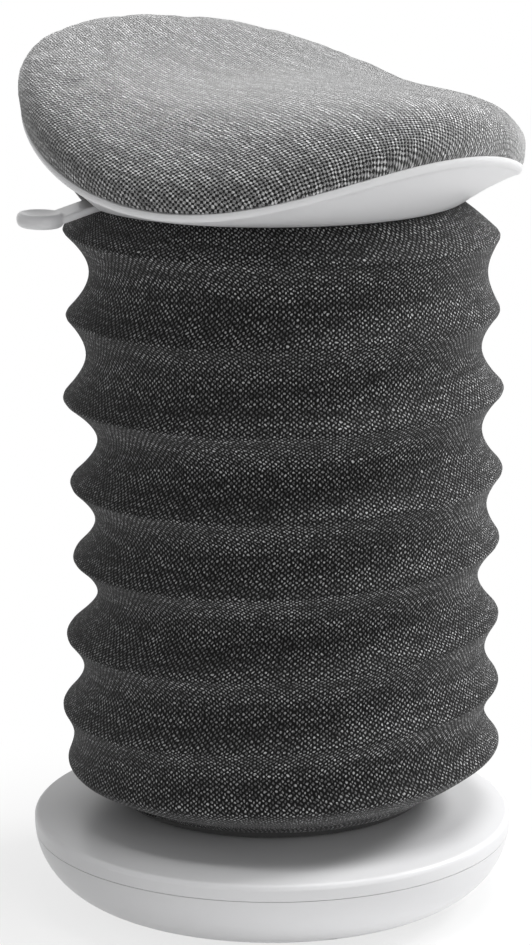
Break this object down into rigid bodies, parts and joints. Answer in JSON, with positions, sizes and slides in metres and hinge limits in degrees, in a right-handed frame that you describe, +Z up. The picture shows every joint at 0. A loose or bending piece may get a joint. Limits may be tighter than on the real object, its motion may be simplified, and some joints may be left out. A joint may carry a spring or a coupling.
{
  "type": "wobble stool",
  "caption": "Height-adjustable wobble stool: saddle seat on a gas column in a ribbed knit sleeve, over a weighted rocking base with a round sole.",
  "frame": {"origin": "centre of the sole's flat, on the floor, on the column's axis", "axes": "+Z up along the column, +X to the front of the seat, +Y to the sitter's left"},
  "size_m": [0.339, 0.3634, 0.6144],
  "materials": {
    "white_plastic": "satin moulded white",
    "rubber": "matte black rubber",
    "screw_steel": "zinc plated",
    "cast_iron": "painted casting",
    "black_steel": "black powder coat",
    "bright_steel": "ground steel",
    "black_plastic": "moulded black",
    "chrome": "chrome plated",
    "board_wood": "moulded plywood",
    "foam": "cut foam",
    "seat_fabric": "grey melange knit",
    "sleeve_fabric": "grey melange rib knit",
    "hoop_steel": "coated spring wire"
  },
  "bodies": {
    "base": {"base_sole": "rubber", "base_shell": "white_plastic", "base_cover": "white_plastic", "base_screws": "screw_steel", "ballast": "cast_iron", "column_socket": "black_steel", "flange_bolts": "screw_steel", "column_tube": "black_steel", "guide_bush": "black_plastic", "thrust_washer_lower": "bright_steel"},
    "turning_column": {"thrust_balls": "bright_steel", "thrust_washer_upper": "bright_steel", "piston_rod": "bright_steel", "piston": "black_plastic", "rod_clip": "bright_steel", "bump_stop": "rubber", "sleeve_lower_ring": "black_plastic", "sleeve": "sleeve_fabric"},
    "seat": {"gas_cylinder": "chrome", "rod_guide": "black_plastic", "cone_hub": "black_steel", "seat_plate": "black_steel", "plate_screws": "screw_steel", "lever_bracket": "black_steel", "lever_axle": "bright_steel", "seat_shell": "white_plastic", "shell_screws": "screw_steel", "seat_board": "board_wood", "seat_foam": "foam", "seat_cover": "seat_fabric", "sleeve_upper_ring": "black_plastic"},
    "lever": {"lever_arm": "black_steel", "lever_handle": "white_plastic"},
    "valve": {"release_pin": "bright_steel"},
    "hoop_1": {"sleeve_hoop_1": "hoop_steel"},
    "hoop_2": {"sleeve_hoop_2": "hoop_steel"},
    "hoop_3": {"sleeve_hoop_3": "hoop_steel"},
    "hoop_4": {"sleeve_hoop_4": "hoop_steel"},
    "hoop_5": {"sleeve_hoop_5": "hoop_steel"},
    "hoop_6": {"sleeve_hoop_6": "hoop_steel"},
    "hoop_7": {"sleeve_hoop_7": "hoop_steel"},
    "hoop_8": {"sleeve_hoop_8": "hoop_steel"}
  },
  "joints": [
    {"name": "swivel", "type": "hinge", "parent": "base", "child": "turning_column", "pos_m": [0, 0, 0.03], "axis": [0, 0, 1], "continuous": true},
    {"name": "height", "type": "slide", "parent": "turning_column", "child": "seat", "axis": [0, 0, 1], "range_m": [-0.13, 0], "deforming": ["sleeve"]},
    {"name": "lever_lift", "type": "hinge", "parent": "seat", "child": "lever", "pos_m": [-0.01446, -0.03187, 0.5202], "axis": [-0.9107, 0.4131, 0], "range_deg": [0, 5], "stiffness_Nm_per_rad": 6, "springref_deg": -2.86},
    {"name": "valve_press", "type": "slide", "parent": "seat", "child": "valve", "axis": [0, 0, 1], "range_m": [-0.0035, 0], "stiffness_N_per_m": 60, "springref_m": 0.002},
    {"name": "hoop_1_lift", "type": "slide", "parent": "turning_column", "child": "hoop_1", "axis": [0, 0, 1], "range_m": [-0.00915, 0]},
    {"name": "hoop_2_lift", "type": "slide", "parent": "turning_column", "child": "hoop_2", "axis": [0, 0, 1], "range_m": [-0.02172, 0]},
    {"name": "hoop_3_lift", "type": "slide", "parent": "turning_column", "child": "hoop_3", "axis": [0, 0, 1], "range_m": [-0.03721, 0]},
    {"name": "hoop_4_lift", "type": "slide", "parent": "turning_column", "child": "hoop_4", "axis": [0, 0, 1], "range_m": [-0.05388, 0]},
    {"name": "hoop_5_lift", "type": "slide", "parent": "turning_column", "child": "hoop_5", "axis": [0, 0, 1], "range_m": [-0.07102, 0]},
    {"name": "hoop_6_lift", "type": "slide", "parent": "turning_column", "child": "hoop_6", "axis": [0, 0, 1], "range_m": [-0.08835, 0]},
    {"name": "hoop_7_lift", "type": "slide", "parent": "turning_column", "child": "hoop_7", "axis": [0, 0, 1], "range_m": [-0.10575, 0]},
    {"name": "hoop_8_lift", "type": "slide", "parent": "turning_column", "child": "hoop_8", "axis": [0, 0, 1], "range_m": [-0.12318, 0]}
  ],
  "couplings": [
    {"joint": "valve_press", "follows": "lever_lift", "m_per_rad": -0.035},
    {"joint": "hoop_1_lift", "follows": "height", "ratio": 0.066556},
    {"joint": "hoop_2_lift", "follows": "height", "ratio": 0.1632},
    {"joint": "hoop_3_lift", "follows": "height", "ratio": 0.28241},
    {"joint": "hoop_4_lift", "follows": "height", "ratio": 0.41063},
    {"joint": "hoop_5_lift", "follows": "height", "ratio": 0.54246},
    {"joint": "hoop_6_lift", "follows": "height", "ratio": 0.67573},
    {"joint": "hoop_7_lift", "follows": "height", "ratio": 0.80958},
    {"joint": "hoop_8_lift", "follows": "height", "ratio": 0.94366}
  ]
}
